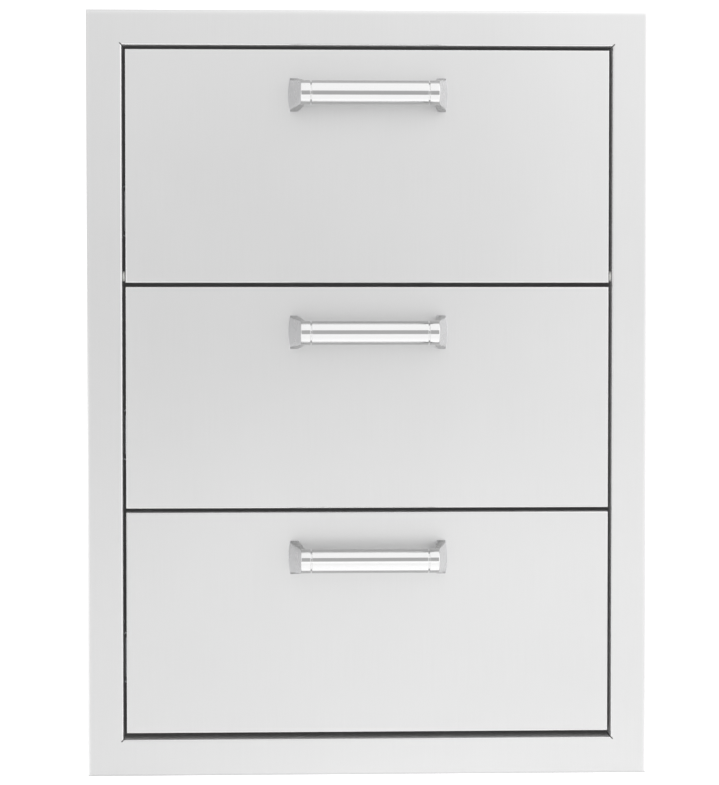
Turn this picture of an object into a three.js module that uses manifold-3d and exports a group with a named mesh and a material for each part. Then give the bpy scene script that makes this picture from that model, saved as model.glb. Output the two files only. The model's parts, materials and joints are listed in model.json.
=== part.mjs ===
// A built-in three-drawer unit for an outdoor kitchen, folded from stainless sheet.
// Millimetres. +X is to the right, +Y to the back and +Z up. The plane y = 0 is the
// island's front face, which the frame's turned-back rim rests on, and z = 0 is the
// frame's bottom edge.
import * as THREE from "three";
import { ConvexGeometry } from "three/addons/geometries/ConvexGeometry.js";
import { mergeVertices } from "three/addons/utils/BufferGeometryUtils.js";
import Module from "manifold-3d";

const wasm = await Module();
wasm.setup();

// Drawer fronts, top to bottom, and the gaps round them.
const frontWidth = 428.6;
const topFrontHeight = 205.9;
const middleFrontHeight = 196.4;
const bottomFrontHeight = 196.4;
const sideGap = 2.8;
const topGap = 3.4;
const drawerGap = 3.5;
const bottomGap = 5.6;
const frontDepth = 19;

// Face frame.
const flangeWidth = 31.5;
const bottomFlangeWidth = 32.7;
const flangeDepth = 9.5;
const returnDepth = 32;
const frameSheet = 1.2;
const frameBend = 1.8;
const rimBend = 2.6;
const cornerSlitWidth = 1;
const cornerSlitReach = 1.2;
const mountingHole = 5;
const mountingHoleSetback = 24;

// Sheet of the cabinet and the drawers.
const sheet = 1;
const bend = 1.6;
const cabinetFlange = 14;
const rearClearance = 14;

// Clearances. Seated pieces lie seatGap apart, and the tray and its neighbours never meet.
const seatGap = 0.3;
const overrun = 4;

// Rails across the cabinet, behind the top of the front below each gap.
const railHeight = 24;
const railDepth = 11;
const railSetback = 1.5;
const railTuck = 6;

// Nylon guide buttons in the frame's side returns.
const buttonDiameter = 9;
const buttonThickness = 2.2;
const buttonStem = 4;
const buttonRise = 5.8;
const buttonSetback = 8;

// Trays.
const trayLength = 512;
const trayRise = 20;
const trayDrop = 50;
const trayLip = 7;
const slideRise = 44;
const linerFlange = 10;

// Ball-bearing slides.
const slideLength = 500;
const slideTravel = 480;
const slideHeight = 45.7;
const slideGauge = 1.1;
const ballRadius = 1.9;
const ballClearance = 0.3;
const cageSheet = 0.5;
const cageMargin = 17;
const ballInset = 8;
const stopTabHeight = 16;
const stopTabReach = 7;
const stopGap = 1.4;
const slideHole = 4.5;
const slideHoleSetback = 38;

// Angles of the slides' raceways, in degrees from the direction of the drawer.
const raceLean = 40;
const cabinetLip = 18;
const middleLip = 10;
const drawerRaceStart = 216;
const drawerRaceEnd = 306;

// Handles.
const handleDrop = 40.2;
const handleStandoff = 36;
const barDiameter = 21.2;
const barWall = 1.5;
const barGroove = 0.9;
const barLength = 102.2;
const collarLength = 8.5;
const webLength = 3.5;
const spigotLength = 12;
const footWidth = 9;
const footHeight = 29.2;
const footBow = 1.6;
const footOverhang = 9.9;
const screwHole = 4.5;
const screwTap = 3.3;
const screwDepth = 12;
const screwInset = 5.5;

// How finely round shapes are divided.
const bendSteps = 3;
const frameSteps = 5;
const raceSteps = 5;
const holeSteps = 12;
const barSteps = 32;
const ballStepsRound = 6;
const ballStepsDown = 4;
const slideHoleSteps = 8;
const ballsInRow = 4;

// Places worked out from the sizes above.
const openingWidth = frontWidth + 2 * sideGap;
const openingHeight =
  topGap + topFrontHeight + drawerGap + middleFrontHeight + drawerGap + bottomFrontHeight + bottomGap;
const frameWidth = openingWidth + 2 * flangeWidth;
const frameHeight = openingHeight + flangeWidth + bottomFlangeWidth;
const flangeFront = -flangeDepth;
const returnBack = flangeFront + returnDepth;
const frontBack = flangeFront + frontDepth;
const openingHalf = openingWidth / 2;
const openingBottom = bottomFlangeWidth;
const openingTop = openingBottom + openingHeight;
const panelInner = openingHalf + frameSheet + seatGap;
const panelFront = flangeFront + frameSheet + seatGap;
const slideFront = returnBack + seatGap;
const slideBack = slideFront + slideLength;
const cabinetBack = slideBack + rearClearance;
const shelfBottom = openingBottom - frameSheet - seatGap - sheet;
const shelfTop = openingTop + frameSheet + seatGap + sheet;

// Drawer fronts' centres, from the top down.
const topFrontZ = openingTop - topGap - topFrontHeight / 2;
const middleFrontZ = topFrontZ - topFrontHeight / 2 - drawerGap - middleFrontHeight / 2;
const bottomFrontZ = middleFrontZ - middleFrontHeight / 2 - drawerGap - bottomFrontHeight / 2;

// Slide section, measured inward from the cabinet's side: u across and z up.
const raceRadius = ballRadius + ballClearance + slideGauge / 2;
const raceTurn = THREE.MathUtils.degToRad(raceLean);
const outerBallU = raceRadius + slideGauge / 2;
const outerBallZ = slideHeight / 2 - raceRadius - slideGauge / 2;
const innerBallU = outerBallU + 2 * raceRadius * Math.cos(raceTurn);
const innerBallZ = outerBallZ - 2 * raceRadius * Math.sin(raceTurn);
const outerCageU = slideGauge + ballClearance + cageSheet / 2;
const middleWebU = slideGauge + 2 * ballClearance + cageSheet + slideGauge / 2;
const innerCageU = middleWebU + slideGauge / 2 + 2 * ballClearance + cageSheet / 2;
const slideThickness = innerBallU + raceRadius + 2 * ballClearance + 1.5 * slideGauge;
const trayHalf = panelInner - 2 * seatGap - slideThickness;

// Fully open, a cage lies cageMargin inside both ends of its two members' overlap.
const cageLength = slideLength - slideTravel / 2 - 2 * cageMargin;
const cageStart = slideFront + cageMargin + slideTravel / 4;

// Materials.
const metal = (color, roughness) => new THREE.MeshStandardMaterial({ color, roughness, metalness: 1 });
const satinSteel = metal(0xd8d8d8, 0.35);
const boxSteel = metal(0xc4c6c8, 0.42);
const slideSteel = metal(0xb4b8bc, 0.3);
const polishedSteel = metal(0xf2f2f2, 0.08);
const castSteel = metal(0xcfcfcf, 0.28);
const ballSteel = metal(0xe0e2e4, 0.15);
const nylon = new THREE.MeshStandardMaterial({ color: 0xf4f4f0, roughness: 0.5, metalness: 0 });

// A closed geometry as a solid that can be joined and cut, and back again.
function solidOf(geometry) {
  const bare = geometry.index ? geometry.toNonIndexed() : geometry.clone();
  bare.deleteAttribute("normal");
  bare.deleteAttribute("uv");
  const merged = mergeVertices(bare);
  const triVerts = new Uint32Array(merged.index.array);
  return new wasm.Manifold(
    new wasm.Mesh({ numProp: 3, vertProperties: merged.attributes.position.array, triVerts }),
  );
}

function geometryOf(solid) {
  const mesh = solid.getMesh();
  const geometry = new THREE.BufferGeometry();
  geometry.setAttribute("position", new THREE.BufferAttribute(mesh.vertProperties, 3));
  geometry.setIndex(new THREE.BufferAttribute(mesh.triVerts, 1));
  return geometry;
}

function cut(geometry, ...tools) {
  return geometryOf(tools.reduce((left, tool) => left.subtract(solidOf(tool)), solidOf(geometry)));
}

function join(geometry, ...others) {
  return geometryOf(others.reduce((whole, other) => whole.add(solidOf(other)), solidOf(geometry)));
}

// The same shape seen in a mirror that stands on x = 0.
function reflected(geometry) {
  return geometryOf(solidOf(geometry).mirror([1, 0, 0]));
}

// A box between two corners.
function slab([x0, y0, z0], [x1, y1, z1]) {
  const box = new THREE.BoxGeometry(x1 - x0, y1 - y0, z1 - z0);
  return box.translate((x0 + x1) / 2, (y0 + y1) / 2, (z0 + z1) / 2);
}

// A drill of the given diameter between two places on the axis "x", "y" or "z".
function drill(axis, diameter, from, to, [x, y, z], steps = holeSteps) {
  const rod = new THREE.CylinderGeometry(diameter / 2, diameter / 2, to - from, steps);
  const middle = (from + to) / 2;
  if (axis === "x") return rod.rotateZ(Math.PI / 2).translate(middle, y, z);
  if (axis === "z") return rod.rotateX(Math.PI / 2).translate(x, y, middle);
  return rod.translate(x, middle, z);
}

// A drill along X on the left (side -1) or the right (side 1), between two distances from x = 0.
function sideDrill(side, diameter, near, far, place, steps) {
  const [from, to] = side > 0 ? [near, far] : [-far, -near];
  return drill("x", diameter, from, to, place, steps);
}

// Points along an arc, from one angle to another, both ends included.
function arc(x, y, radius, from, to, steps) {
  const points = [];
  for (let i = 0; i <= steps; i++) {
    const angle = from + ((to - from) * i) / steps;
    points.push(new THREE.Vector2(x + radius * Math.cos(angle), y + radius * Math.sin(angle)));
  }
  return points;
}

// A line of straight runs whose inner corners are turned to a bend radius.
function foldedLine(corners, radius) {
  const line = [corners[0].clone()];
  for (let i = 1; i < corners.length - 1; i++) {
    const toLast = corners[i - 1].clone().sub(corners[i]).normalize();
    const toNext = corners[i + 1].clone().sub(corners[i]).normalize();
    const half = Math.acos(THREE.MathUtils.clamp(toLast.dot(toNext), -1, 1)) / 2;
    const inward = toLast.clone().add(toNext).normalize();
    const centre = corners[i].clone().addScaledVector(inward, radius / Math.sin(half));
    const start = corners[i].clone().addScaledVector(toLast, radius / Math.tan(half)).sub(centre).angle();
    const end = corners[i].clone().addScaledVector(toNext, radius / Math.tan(half)).sub(centre).angle();
    const turn = THREE.MathUtils.euclideanModulo(end - start + Math.PI, 2 * Math.PI) - Math.PI;
    line.push(...arc(centre.x, centre.y, radius, start, start + turn, bendSteps));
  }
  line.push(corners.at(-1).clone());
  return line;
}

// The outline of a sheet of the given thickness whose middle follows a line.
function sheetOutline(line, thickness) {
  const left = [];
  const right = [];
  line.forEach((point, i) => {
    const back = i > 0 ? point.clone().sub(line[i - 1]).normalize() : null;
    const ahead = i < line.length - 1 ? line[i + 1].clone().sub(point).normalize() : null;
    const along = (back ?? ahead).clone().add(ahead ?? back).normalize();
    const normal = new THREE.Vector2(-along.y, along.x);
    const stretch = 1 / Math.max(Math.abs(along.dot(back ?? ahead)), 0.5);
    left.push(point.clone().addScaledVector(normal, (thickness / 2) * stretch));
    right.push(point.clone().addScaledVector(normal, (-thickness / 2) * stretch));
  });
  return new THREE.Shape([...left, ...right.reverse()]);
}

// Extrudes a section drawn in x and z along +Y, and one drawn in x and y along +Z.
function alongY(shape, from, to) {
  const run = new THREE.ExtrudeGeometry(shape, { depth: to - from, bevelEnabled: false });
  return run.rotateX(Math.PI / 2).translate(0, to, 0);
}

function alongZ(shape, from, to) {
  const run = new THREE.ExtrudeGeometry(shape, { depth: to - from, bevelEnabled: false });
  return run.translate(0, 0, from);
}

// Extrudes a section drawn in y and z along +X.
function alongX(shape, from, to) {
  const run = new THREE.ExtrudeGeometry(shape, { depth: to - from, bevelEnabled: false });
  return run.rotateY(Math.PI / 2).rotateX(Math.PI / 2).translate(from, 0, 0);
}

// A skin over a row of rectangles. Each ring is [half width, half height, place on the axis],
// and one along Y may have a rise in z as well. Open rows are capped at both ends, and a
// closed row joins its last ring to its first.
function rectangleLoft(rings, axis, closed = false) {
  const position = [];
  const index = [];
  for (const [a, b, c, rise = 0] of rings) {
    for (const [i, j] of [[-1, -1], [1, -1], [1, 1], [-1, 1]]) position.push(i * a, j * b - rise, c);
  }
  const spans = closed ? rings.length : rings.length - 1;
  for (let r = 0; r < spans; r++) {
    for (let i = 0; i < 4; i++) {
      const here = r * 4 + i;
      const beside = r * 4 + ((i + 1) % 4);
      const above = ((r + 1) % rings.length) * 4 + i;
      const across = ((r + 1) % rings.length) * 4 + ((i + 1) % 4);
      index.push(here, beside, across, here, across, above);
    }
  }
  if (!closed) {
    const last = (rings.length - 1) * 4;
    index.push(0, 2, 1, 0, 3, 2, last, last + 1, last + 2, last, last + 2, last + 3);
  }
  const geometry = new THREE.BufferGeometry();
  geometry.setAttribute("position", new THREE.Float32BufferAttribute(position, 3));
  geometry.setIndex(index);
  return axis === "y" ? geometry.rotateX(-Math.PI / 2) : geometry;
}

// Corner of a fold seen in section: rings that turn from a face to a wall. The face lies at
// "place" on the axis, the wall runs on in the direction "way", and edge is the half size outside.
function foldRings(halfWidth, halfHeight, radius, place, way) {
  return arc(0, 0, radius, 0, Math.PI / 2, bendSteps).map(({ x, y }) => {
    const inset = radius - y;
    return [halfWidth - inset, halfHeight - inset, place + way * (radius - x)];
  });
}

// A shallow pan with a face at "face", and folded walls that run to an open "rim" along Y.
function pan(width, height, face, rim, thickness, radius) {
  const way = Math.sign(rim - face);
  const inner = Math.max(radius - thickness, thickness / 2);
  const outerRings = foldRings(width / 2, height / 2, radius, face, way);
  const innerWidth = width / 2 - thickness;
  const innerHeight = height / 2 - thickness;
  const innerRings = foldRings(innerWidth, innerHeight, inner, face + way * thickness, way);
  const rings = [
    ...outerRings,
    [width / 2, height / 2, rim],
    [innerWidth, innerHeight, rim],
    ...innerRings.reverse(),
  ];
  return rectangleLoft(way > 0 ? rings : rings.reverse(), "y");
}

function mesh(name, geometry, material, x = 0, y = 0, z = 0) {
  const piece = new THREE.Mesh(geometry, material);
  piece.name = name;
  piece.position.set(x, y, z);
  return piece;
}

// Face frame: a flange with a turned-back rim outside and a deep return round the opening,
// drawn about the frame's middle.
function faceFrame() {
  const rise = (bottomFlangeWidth - flangeWidth) / 2;
  const outer = (inset, y) => [frameWidth / 2 - inset, frameHeight / 2 - inset, y];
  const inner = (outset, y) => [openingHalf + outset, openingHeight / 2 + outset, y, rise];
  const bendLine = (corner, radius) =>
    arc(0, 0, radius, 0, Math.PI / 2, frameSteps).map(({ x, y }) => [corner - x, flangeFront + corner - y]);
  const profile = [
    ...bendLine(rimBend, rimBend).map((place) => outer(...place)),
    ...bendLine(frameBend, frameBend).toReversed().map((place) => inner(...place)),
    inner(0, returnBack),
    inner(frameSheet, returnBack),
    ...bendLine(frameBend, frameBend - frameSheet).map((place) => inner(...place)),
    ...bendLine(rimBend, rimBend - frameSheet).toReversed().map((place) => outer(...place)),
    outer(frameSheet, 0),
    outer(0, 0),
  ];
  const frame = rectangleLoft(profile.reverse(), "y", true);
  const tools = [];
  for (const side of [-1, 1]) {
    for (const end of [-1, 1]) {
      const slitLength = 2 * (Math.SQRT2 * frameSheet + cornerSlitReach);
      const slit = new THREE.BoxGeometry(cornerSlitWidth, returnDepth + 2 * overrun, slitLength);
      slit.rotateY((side * end * Math.PI) / 4);
      const z = rise + (end * openingHeight) / 2;
      tools.push(slit.translate(side * openingHalf, (flangeFront + returnBack) / 2, z));
    }
    for (const z of [topFrontZ, middleFrontZ, bottomFrontZ]) {
      const place = [0, flangeFront + mountingHoleSetback, z - frameHeight / 2];
      tools.push(sideDrill(side, mountingHole, openingHalf - overrun, panelInner + overrun, place));
    }
    const seat = [0, flangeFront + buttonSetback, buttonZ() - frameHeight / 2];
    tools.push(sideDrill(side, buttonStem + 2 * seatGap, openingHalf - overrun, panelInner, seat));
  }
  return mesh("face_frame", cut(frame, ...tools), satinSteel, 0, 0, frameHeight / 2);
}

function buttonZ() {
  return topFrontZ - topFrontHeight / 2 + buttonRise;
}

// Guide button: a low dome with a stem in the frame's side return.
function guideButton(name, side) {
  const dome = buttonThickness / 3;
  const profile = [
    new THREE.Vector2(0, -frameSheet),
    new THREE.Vector2(buttonStem / 2, -frameSheet),
    new THREE.Vector2(buttonStem / 2, seatGap),
    new THREE.Vector2(buttonDiameter / 2, seatGap),
    new THREE.Vector2(buttonDiameter / 2, buttonThickness - dome),
    new THREE.Vector2(buttonDiameter / 2 - dome, buttonThickness),
    new THREE.Vector2(0, buttonThickness),
  ];
  const button = new THREE.LatheGeometry(profile, holeSteps + holeSteps / 2);
  const piece = mesh(name, button, nylon, side * openingHalf, flangeFront + buttonSetback, buttonZ());
  piece.rotation.z = (side * Math.PI) / 2;
  return piece;
}

// Side panel: a plate lapped outside the frame's return, with its back edge turned inward.
function sidePanel(name, side) {
  const middle = panelInner + sheet / 2;
  const corners = [
    new THREE.Vector2(middle, panelFront),
    new THREE.Vector2(middle, cabinetBack - sheet / 2),
    new THREE.Vector2(middle - cabinetFlange, cabinetBack - sheet / 2),
  ];
  const turned = corners.map(({ x, y }) => new THREE.Vector2(side * x, y));
  const outline = sheetOutline(foldedLine(turned, bend), sheet);
  const panel = alongZ(outline, shelfBottom, shelfTop);
  const holes = [topFrontZ, middleFrontZ, bottomFrontZ].map((z) => {
    const place = [0, flangeFront + mountingHoleSetback, z];
    return sideDrill(side, mountingHole, panelInner - overrun, panelInner + sheet + overrun, place);
  });
  return mesh(name, cut(panel, ...holes), boxSteel);
}

// Top and bottom panels: a plate lapped over the frame's return, with side edges turned into the cabinet.
function shelfPanel(name, place, way) {
  const half = panelInner - seatGap - sheet / 2;
  const middle = place + (way * sheet) / 2;
  const corners = [
    new THREE.Vector2(-half, middle + way * cabinetFlange),
    new THREE.Vector2(-half, middle),
    new THREE.Vector2(half, middle),
    new THREE.Vector2(half, middle + way * cabinetFlange),
  ];
  const outline = sheetOutline(foldedLine(corners, bend), sheet);
  const back = cabinetBack - sheet - bend;
  const panel = alongY(outline, panelFront, back);
  const notches = [-1, 1].map((side) => {
    const inner = openingHalf - bend - sheet;
    const outer = panelInner + overrun;
    const near = middle + (way * sheet) / 2;
    const far = middle + way * (cabinetFlange + overrun);
    return slab(
      [Math.min(side * inner, side * outer), panelFront - overrun, Math.min(near, far)],
      [Math.max(side * inner, side * outer), slideFront, Math.max(near, far)],
    );
  });
  return mesh(name, cut(panel, ...notches), boxSteel);
}

// Back panel: a flat plate on the side panels' turned edges.
function backPanel() {
  const plate = slab(
    [-panelInner - sheet, cabinetBack + seatGap, shelfBottom],
    [panelInner + sheet, cabinetBack + seatGap + sheet, shelfTop],
  );
  return mesh("back_panel", plate, boxSteel);
}

// Rail below a gap: a channel between the frame's side returns, which the front there hides.
function dividerRail(name, frontTop) {
  const face = frontBack + railSetback + sheet / 2;
  const back = face + railDepth - sheet / 2;
  const half = (railHeight - sheet) / 2;
  const corners = [
    new THREE.Vector2(back, half),
    new THREE.Vector2(face, half),
    new THREE.Vector2(face, -half),
    new THREE.Vector2(back, -half),
  ];
  const outline = sheetOutline(foldedLine(corners, bend), sheet);
  const reach = openingHalf - seatGap;
  const z = frontTop - railTuck - railHeight / 2;
  return mesh(name, alongX(outline, -reach, reach), boxSteel, 0, 0, z);
}

// Slide sections, each a sheet whose line is drawn for the upper half and mirrored below.
const mirrored = (upper) => [...upper, ...upper.toReversed().map(({ x, y }) => new THREE.Vector2(x, -y))];

function cabinetMemberLine() {
  const lip = THREE.MathUtils.degToRad(cabinetLip);
  return mirrored(arc(outerBallU, outerBallZ, raceRadius, lip, Math.PI, raceSteps));
}

function middleMemberLine() {
  const start = Math.PI + Math.acos((outerBallU - middleWebU) / raceRadius);
  const trough = arc(outerBallU, outerBallZ, raceRadius, start, 2 * Math.PI - raceTurn, raceSteps - 1);
  const lip = THREE.MathUtils.degToRad(middleLip);
  const crest = arc(innerBallU, innerBallZ, raceRadius, Math.PI - raceTurn, lip, raceSteps);
  return mirrored([...crest.slice(1).reverse(), ...trough.reverse()]);
}

function drawerMemberLine() {
  const web = slideThickness - slideGauge / 2;
  const start = THREE.MathUtils.degToRad(drawerRaceStart);
  const end = THREE.MathUtils.degToRad(drawerRaceEnd);
  const trough = arc(innerBallU, innerBallZ, raceRadius, start, end, raceSteps - 1);
  const corner = new THREE.Vector2(web, trough.at(-1).y - slideGauge);
  return mirrored([...trough, corner]);
}

// Turns a section that runs in from the cabinet's side into the frame's x, for the left or right.
function handed(line, side) {
  const face = panelInner - seatGap;
  return line.map(({ x, y }) => new THREE.Vector2(side * (face - x), y));
}

function slideMember(name, line, side, from, to) {
  const outline = sheetOutline(handed(line, side), slideGauge);
  return mesh(name, alongY(outline, from, to), slideSteel);
}

// Screw holes through a member's web, one near each end.
function slideHoles(webU, side) {
  const web = panelInner - seatGap - webU;
  return [slideFront + slideHoleSetback, slideBack - slideHoleSetback].map((y) =>
    sideDrill(side, slideHole, web - slideGauge, web + slideGauge, [0, y, 0], slideHoleSteps),
  );
}

// Ball cage: a strip or channel with balls at its two edges.
function ballCage(name, side, section, ballU, ballZ) {
  const strip = alongY(sheetOutline(handed(section, side), cageSheet), cageStart, cageStart + cageLength);
  const pitch = (cageLength - 2 * ballInset) / (ballsInRow - 1);
  const x = side * (panelInner - seatGap - ballU);
  const balls = [];
  for (let i = 0; i < ballsInRow; i++) {
    for (const z of [ballZ, -ballZ]) {
      const ball = new THREE.SphereGeometry(ballRadius, ballStepsRound, ballStepsDown);
      balls.push(ball.translate(x, cageStart + ballInset + i * pitch, z));
    }
  }
  return mesh(name, join(strip, ...balls), ballSteel);
}

// A slide: the cabinet member, the middle member, the drawer member and two ball cages.
function slide(prefix, side, z) {
  const group = new THREE.Group();
  group.position.z = z;
  const back = slideBack - slideGauge - stopGap;
  const section = cabinetMemberLine();
  const cabinetMember = slideMember(`${prefix}_cabinet_member`, section, side, slideFront, slideBack);
  const face = side * (panelInner - seatGap - slideGauge / 2);
  const reach = side * (panelInner - seatGap - stopTabReach);
  const tab = slab(
    [Math.min(face, reach), slideBack - slideGauge, -stopTabHeight / 2],
    [Math.max(face, reach), slideBack, stopTabHeight / 2],
  );
  cabinetMember.geometry = cut(join(cabinetMember.geometry, tab), ...slideHoles(slideGauge / 2, side));
  const drawerMember = slideMember(`${prefix}_drawer_member`, drawerMemberLine(), side, slideFront, back);
  const drawerWeb = slideThickness - slideGauge / 2;
  drawerMember.geometry = cut(drawerMember.geometry, ...slideHoles(drawerWeb, side));
  const outerStrip = [new THREE.Vector2(outerCageU, outerBallZ), new THREE.Vector2(outerCageU, -outerBallZ)];
  const legEnd = innerBallU - ballRadius / 2;
  const innerStrip = [
    new THREE.Vector2(legEnd, innerBallZ),
    new THREE.Vector2(innerCageU, innerBallZ),
    new THREE.Vector2(innerCageU, -innerBallZ),
    new THREE.Vector2(legEnd, -innerBallZ),
  ];
  group.add(
    cabinetMember,
    slideMember(`${prefix}_middle_member`, middleMemberLine(), side, slideFront, back),
    drawerMember,
    ballCage(`${prefix}_cabinet_ball_cage`, side, outerStrip, outerBallU, outerBallZ),
    ballCage(`${prefix}_drawer_ball_cage`, side, innerStrip, innerBallU, innerBallZ),
  );
  return group;
}

// Handle post: a collar that carries on the bar's round, and a leg that spreads from the
// collar's end to a foot on the front, with a spigot for the bar and a tapped hole for its screw.
function handlePost(name, side) {
  const collarStart = barLength / 2 + barGroove;
  const end = collarStart + collarLength;
  const outer = end + footOverhang;
  const footY = -seatGap;
  const ring = (x) =>
    arc(-handleStandoff, 0, barDiameter / 2, 0, 2 * Math.PI, barSteps)
      .slice(1)
      .map((point) => new THREE.Vector3(x, point.x, point.y));
  const sole = [-footHeight / 2, footHeight / 2].map((z) => new THREE.Vector3(outer - footWidth, footY, z));
  for (let i = 0; i <= bendSteps * 2; i++) {
    const share = i / bendSteps - 1;
    sole.push(new THREE.Vector3(outer - footBow * share * share, footY, (share * footHeight) / 2));
  }
  const leg = new ConvexGeometry([...ring(end - webLength), ...ring(end), ...sole]);
  const collar = new ConvexGeometry([...ring(collarStart), ...ring(end - webLength / 2)]);
  const axisPlace = [0, -handleStandoff, 0];
  const spigotDiameter = barDiameter - 2 * barWall - 2 * seatGap;
  const spigot = drill("x", spigotDiameter, collarStart - spigotLength, end - collarLength / 2, axisPlace);
  const tap = drill("y", screwTap, footY - screwDepth, footY + overrun, [outer - screwInset, 0, 0]);
  const post = cut(join(leg, collar, spigot), tap);
  return mesh(name, side > 0 ? post : reflected(post), castSteel);
}

// Handle bar: a tube with eased ends that slips over the posts' spigots.
function handleBar(name) {
  const outer = barDiameter / 2;
  const inner = outer - barWall;
  const ease = barWall / 3;
  const half = barLength / 2;
  const profile = [
    new THREE.Vector2(inner, -half),
    new THREE.Vector2(outer - ease, -half),
    new THREE.Vector2(outer, -half + ease),
    new THREE.Vector2(outer, half - ease),
    new THREE.Vector2(outer - ease, half),
    new THREE.Vector2(inner, half),
    new THREE.Vector2(inner, -half),
  ];
  const tube = new THREE.LatheGeometry(profile, barSteps);
  return mesh(name, tube.rotateZ(Math.PI / 2), polishedSteel, 0, -handleStandoff, 0);
}

function handle(prefix) {
  const group = new THREE.Group();
  group.add(
    handleBar(`${prefix}_handle_bar`),
    handlePost(`${prefix}_handle_post_left`, -1),
    handlePost(`${prefix}_handle_post_right`, 1),
  );
  return group;
}

// Where the handle's screws pass through the front, seen from its centre.
const screwX = barLength / 2 + barGroove + collarLength + footOverhang - screwInset;

function screwHoles(diameter, from, to, z) {
  return [-screwX, screwX].map((x) => drill("y", diameter, from, to, [x, 0, z]));
}

// Drawer front: an outer skin, and a liner that closes its back.
function drawerSkin(name, height) {
  const skin = pan(frontWidth, height, flangeFront, frontBack, sheet, bend);
  const screwZ = height / 2 - handleDrop;
  const holes = screwHoles(screwHole, flangeFront - overrun, flangeFront + sheet + overrun, screwZ);
  return mesh(name, cut(skin, ...holes), satinSteel);
}

function drawerLiner(name, height) {
  const inset = 2 * (sheet + seatGap);
  const liner = pan(frontWidth - inset, height - inset, frontBack, frontBack - linerFlange, sheet, bend);
  const holes = screwHoles(2 * screwHole, frontBack - overrun, frontBack + overrun, height / 2 - handleDrop);
  return mesh(name, cut(liner, ...holes), boxSteel);
}

// Tray: an open box with an inward lip round its top.
function drawerTray(name, frontHeight) {
  const height = frontHeight - trayRise - trayDrop;
  const halfLength = trayLength / 2;
  const inner = Math.max(bend - sheet, sheet / 2);
  const rings = [
    ...foldRings(trayHalf, halfLength, bend, 0, 1),
    ...foldRings(trayHalf, halfLength, bend, height, -1).reverse(),
    [trayHalf - trayLip, halfLength - trayLip, height],
    [trayHalf - trayLip, halfLength - trayLip, height - sheet],
    [trayHalf - sheet, halfLength - sheet, height - sheet],
    ...foldRings(trayHalf - sheet, halfLength - sheet, inner, sheet, 1).reverse(),
  ];
  const tray = rectangleLoft(rings, "z");
  return mesh(name, tray, boxSteel, 0, frontBack + seatGap + halfLength, -frontHeight / 2 + trayRise);
}

function drawer(prefix, z, height) {
  const group = new THREE.Group();
  group.position.z = z;
  const grip = handle(prefix);
  grip.position.set(0, flangeFront, height / 2 - handleDrop);
  const slideZ = -height / 2 + trayRise + slideRise;
  group.add(
    drawerSkin(`${prefix}_drawer_front`, height),
    drawerLiner(`${prefix}_drawer_liner`, height),
    drawerTray(`${prefix}_drawer_tray`, height),
    grip,
    slide(`${prefix}_left_slide`, -1, slideZ),
    slide(`${prefix}_right_slide`, 1, slideZ),
  );
  return group;
}

const unit = new THREE.Group();
unit.add(
  faceFrame(),
  guideButton("guide_button_left", -1),
  guideButton("guide_button_right", 1),
  sidePanel("side_panel_left", -1),
  sidePanel("side_panel_right", 1),
  shelfPanel("top_panel", shelfTop, -1),
  shelfPanel("bottom_panel", shelfBottom, 1),
  backPanel(),
  dividerRail("divider_rail_upper", middleFrontZ + middleFrontHeight / 2),
  dividerRail("divider_rail_lower", bottomFrontZ + bottomFrontHeight / 2),
  drawer("top", topFrontZ, topFrontHeight),
  drawer("middle", middleFrontZ, middleFrontHeight),
  drawer("bottom", bottomFrontZ, bottomFrontHeight),
);

export default unit;
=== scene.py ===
import contextlib
import json
import math
import re

import bmesh
import bpy
from mathutils import Matrix, Vector

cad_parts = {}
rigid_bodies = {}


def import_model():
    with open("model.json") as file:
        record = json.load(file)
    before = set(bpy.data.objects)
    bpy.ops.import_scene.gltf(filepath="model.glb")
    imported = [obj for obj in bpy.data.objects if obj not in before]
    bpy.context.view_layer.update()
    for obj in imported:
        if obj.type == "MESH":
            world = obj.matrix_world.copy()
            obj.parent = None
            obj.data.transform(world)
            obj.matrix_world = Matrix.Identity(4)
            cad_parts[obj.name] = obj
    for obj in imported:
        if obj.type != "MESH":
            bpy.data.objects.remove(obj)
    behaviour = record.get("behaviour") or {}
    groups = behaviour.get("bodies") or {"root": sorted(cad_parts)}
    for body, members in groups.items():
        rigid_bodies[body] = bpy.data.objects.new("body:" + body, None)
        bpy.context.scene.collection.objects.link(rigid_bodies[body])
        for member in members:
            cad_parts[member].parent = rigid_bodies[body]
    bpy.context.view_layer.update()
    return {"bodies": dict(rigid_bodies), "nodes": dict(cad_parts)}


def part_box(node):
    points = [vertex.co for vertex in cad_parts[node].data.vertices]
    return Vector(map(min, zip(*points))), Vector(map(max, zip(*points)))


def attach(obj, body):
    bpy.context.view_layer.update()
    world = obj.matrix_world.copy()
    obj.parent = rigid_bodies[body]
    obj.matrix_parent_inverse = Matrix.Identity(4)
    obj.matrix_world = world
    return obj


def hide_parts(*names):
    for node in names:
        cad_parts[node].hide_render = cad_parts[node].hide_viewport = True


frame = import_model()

MM = 0.001
DRAWERS = ("top", "middle", "bottom")
SIDES = {"left": -1, "right": 1}

# Nodes that a new piece stands for; the others keep their own shape.
MADE_ANEW = re.compile("handle_bar|handle_post|ball_cage")

# Turns that point a primitive's own Z axis to the right or to the front.
TO_RIGHT = (0, math.pi / 2, 0)
TO_FRONT = (math.pi / 2, 0, 0)

# Shading, rounded edges, and how nearly a picked face or edge must match.
SMOOTH_ANGLE = math.radians(38)
FLAT_ANGLE = math.radians(0.3)
HULL_FLAT_ANGLE = math.radians(1)
MERGE_DISTANCE = 0.002 * MM
EDGE_STEPS = 3
PLACE_SLACK = 0.01 * MM
RIM_SLACK = 0.1 * MM
NORMAL_SLACK = 0.01
NORMAL_LEAST = 0.9

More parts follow.
